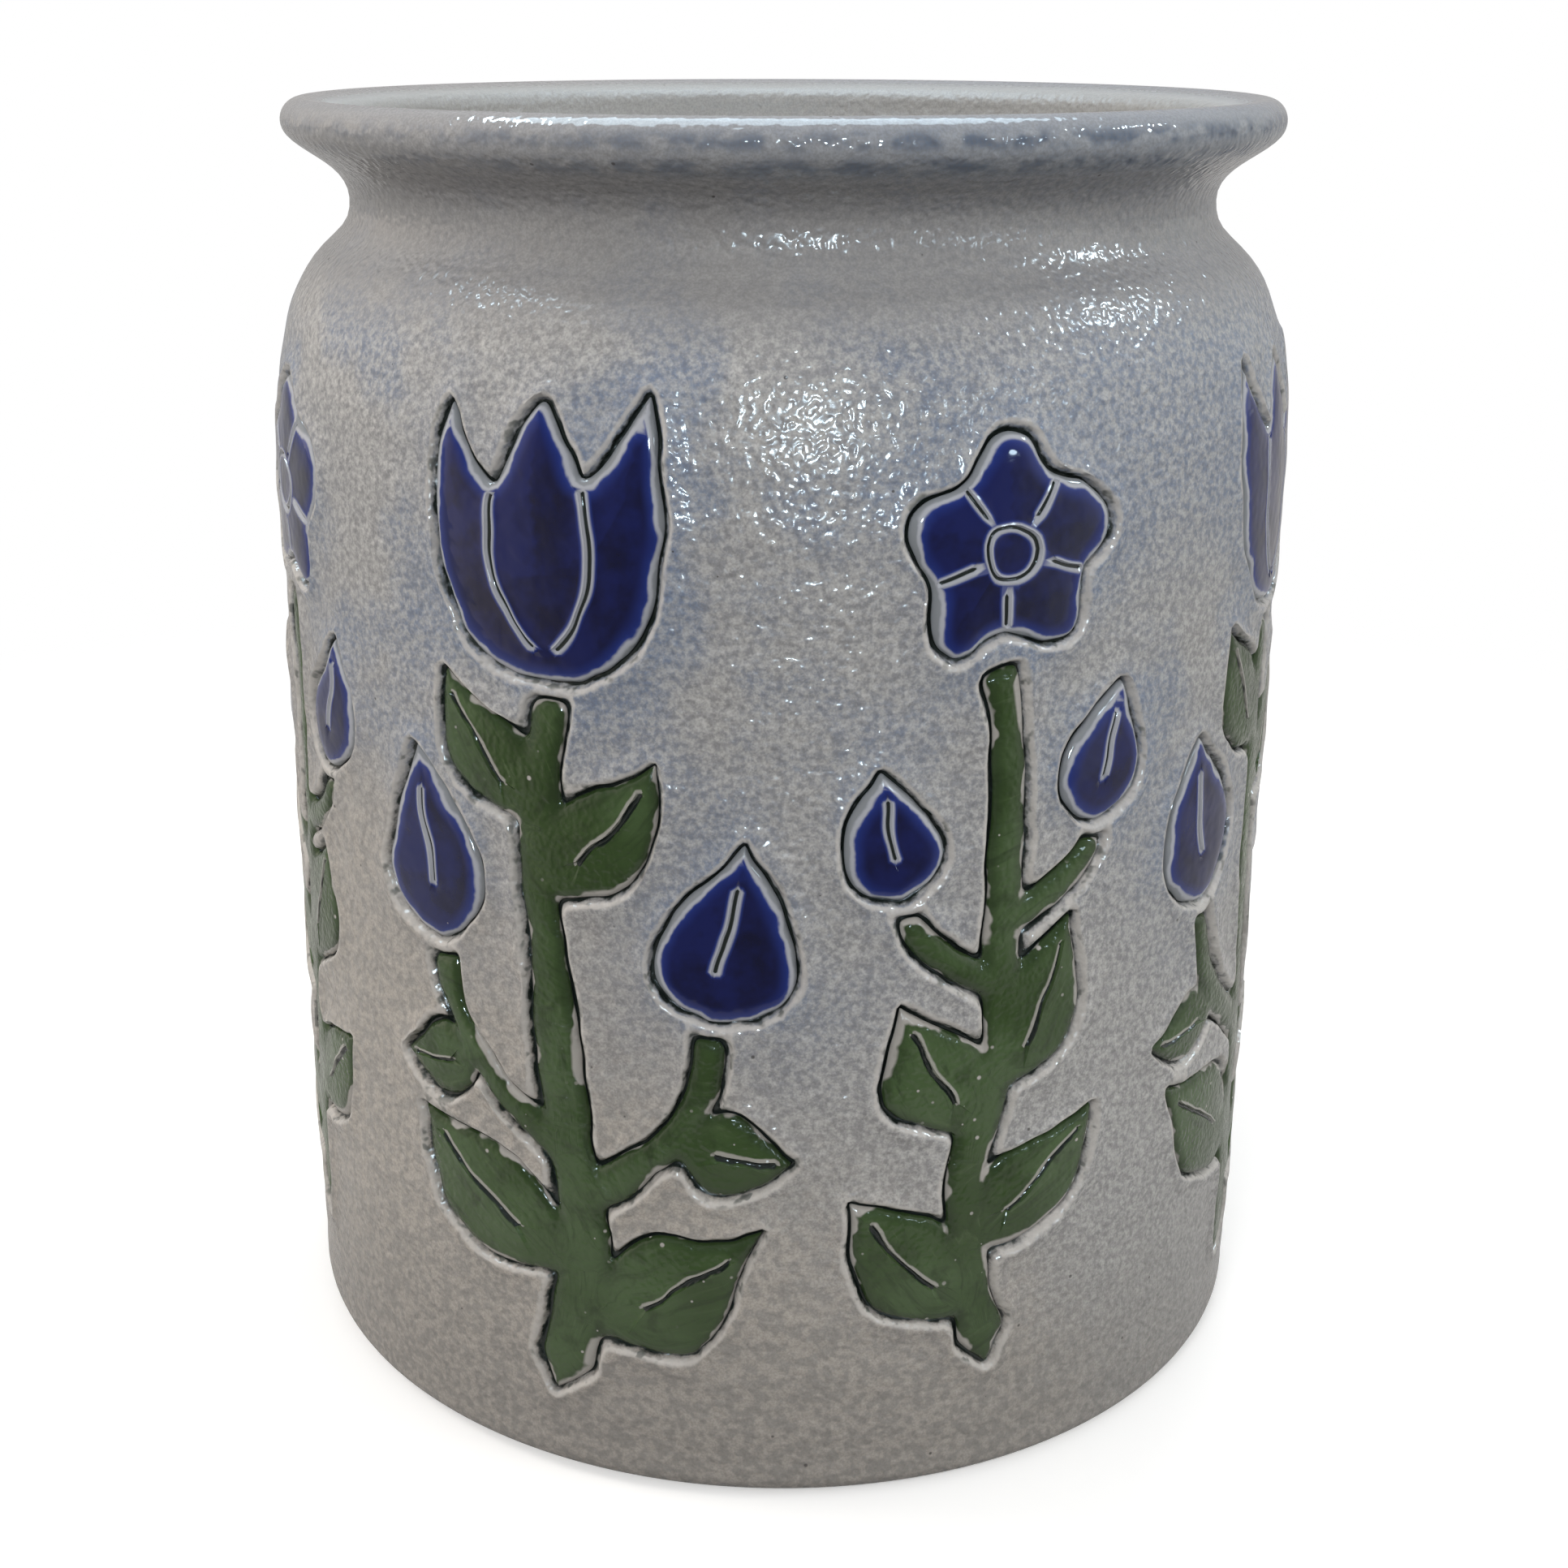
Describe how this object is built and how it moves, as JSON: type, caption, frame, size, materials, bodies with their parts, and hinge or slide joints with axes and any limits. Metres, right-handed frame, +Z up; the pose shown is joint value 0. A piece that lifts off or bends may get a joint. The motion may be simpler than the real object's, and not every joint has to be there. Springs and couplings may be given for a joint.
{
  "type": "stoneware fermenting crock",
  "caption": "Open salt-glazed stoneware crock with a rolled lip and coloured glaze sprigs on its wall, and split weight stones inside that hold food under brine.",
  "frame": {"origin": "centre of the base, on the surface that the crock stands on", "axes": "+Z up along the crock's axis, -Y towards the picture's viewer, +X to that viewer's right"},
  "size_m": [0.1532, 0.1532, 0.1856],
  "materials": {
    "salt_glazed_stoneware": "glossy orange-peel salt glaze, warm grey with blue-grey mottling",
    "bare_stoneware": "unglazed fired stoneware, matt",
    "green_glaze": "satin green glaze with brush marks",
    "cobalt_glaze": "glossy cobalt blue glaze, paler at its edge"
  },
  "bodies": {
    "crock": {"crock_body": "salt_glazed_stoneware", "blossom_bud_left_glaze_1": "cobalt_glaze", "blossom_bud_left_glaze_2": "cobalt_glaze", "blossom_bud_left_glaze_3": "cobalt_glaze", "blossom_bud_left_glaze_4": "cobalt_glaze", "blossom_bud_right_glaze_1": "cobalt_glaze", "blossom_bud_right_glaze_2": "cobalt_glaze", "blossom_bud_right_glaze_3": "cobalt_glaze", "blossom_bud_right_glaze_4": "cobalt_glaze", "blossom_glaze_1": "cobalt_glaze", "blossom_glaze_2": "cobalt_glaze", "blossom_glaze_3": "cobalt_glaze", "blossom_glaze_4": "cobalt_glaze", "blossom_sprig_glaze_1": "green_glaze", "blossom_sprig_glaze_2": "green_glaze", "blossom_sprig_glaze_3": "green_glaze", "blossom_sprig_glaze_4": "green_glaze", "tulip_bud_left_glaze_1": "cobalt_glaze", "tulip_bud_left_glaze_2": "cobalt_glaze", "tulip_bud_left_glaze_3": "cobalt_glaze", "tulip_bud_left_glaze_4": "cobalt_glaze", "tulip_bud_right_glaze_1": "cobalt_glaze", "tulip_bud_right_glaze_2": "cobalt_glaze", "tulip_bud_right_glaze_3": "cobalt_glaze", "tulip_bud_right_glaze_4": "cobalt_glaze", "tulip_glaze_1": "cobalt_glaze", "tulip_glaze_2": "cobalt_glaze", "tulip_glaze_3": "cobalt_glaze", "tulip_glaze_4": "cobalt_glaze", "tulip_sprig_glaze_1": "green_glaze", "tulip_sprig_glaze_2": "green_glaze", "tulip_sprig_glaze_3": "green_glaze", "tulip_sprig_glaze_4": "green_glaze"},
    "left_weight": {"weight_stone_left": "bare_stoneware"},
    "right_weight": {"weight_stone_right": "bare_stoneware"}
  },
  "joints": [
    {"name": "left_weight_lift", "type": "slide", "parent": "crock", "child": "left_weight", "axis": [0, 0, 1], "range_m": [0, 0.2]},
    {"name": "right_weight_lift", "type": "slide", "parent": "crock", "child": "right_weight", "axis": [0, 0, 1], "range_m": [0, 0.2]}
  ]
}
